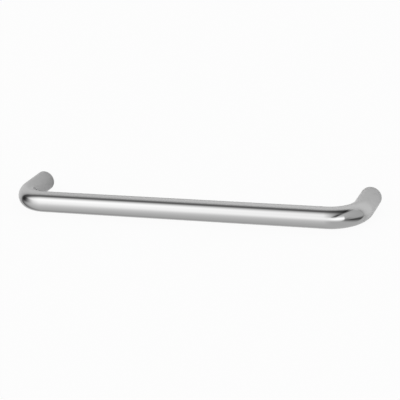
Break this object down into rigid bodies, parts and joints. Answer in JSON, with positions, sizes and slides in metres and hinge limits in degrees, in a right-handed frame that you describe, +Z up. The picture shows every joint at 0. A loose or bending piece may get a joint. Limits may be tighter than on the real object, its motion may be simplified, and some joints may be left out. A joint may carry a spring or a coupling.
{
  "type": "d-bar cabinet pull",
  "caption": "D-shaped cabinet or drawer pull bent from round polished bar, with tapped feet for screws that come through the front.",
  "frame": {"origin": "midway between the centres of the two fixing holes, on the plane of the feet, where the pull meets the door or drawer front", "axes": "+X along the grip, +Y from the grip towards the front that the pull is fixed to, +Z up when the pull is fixed level on a drawer"},
  "size_m": [0.1694, 0.032, 0.0094],
  "materials": {
    "polished_chrome": "polished"
  },
  "bodies": {
    "root": {"bar": "polished_chrome"}
  },
  "joints": []
}
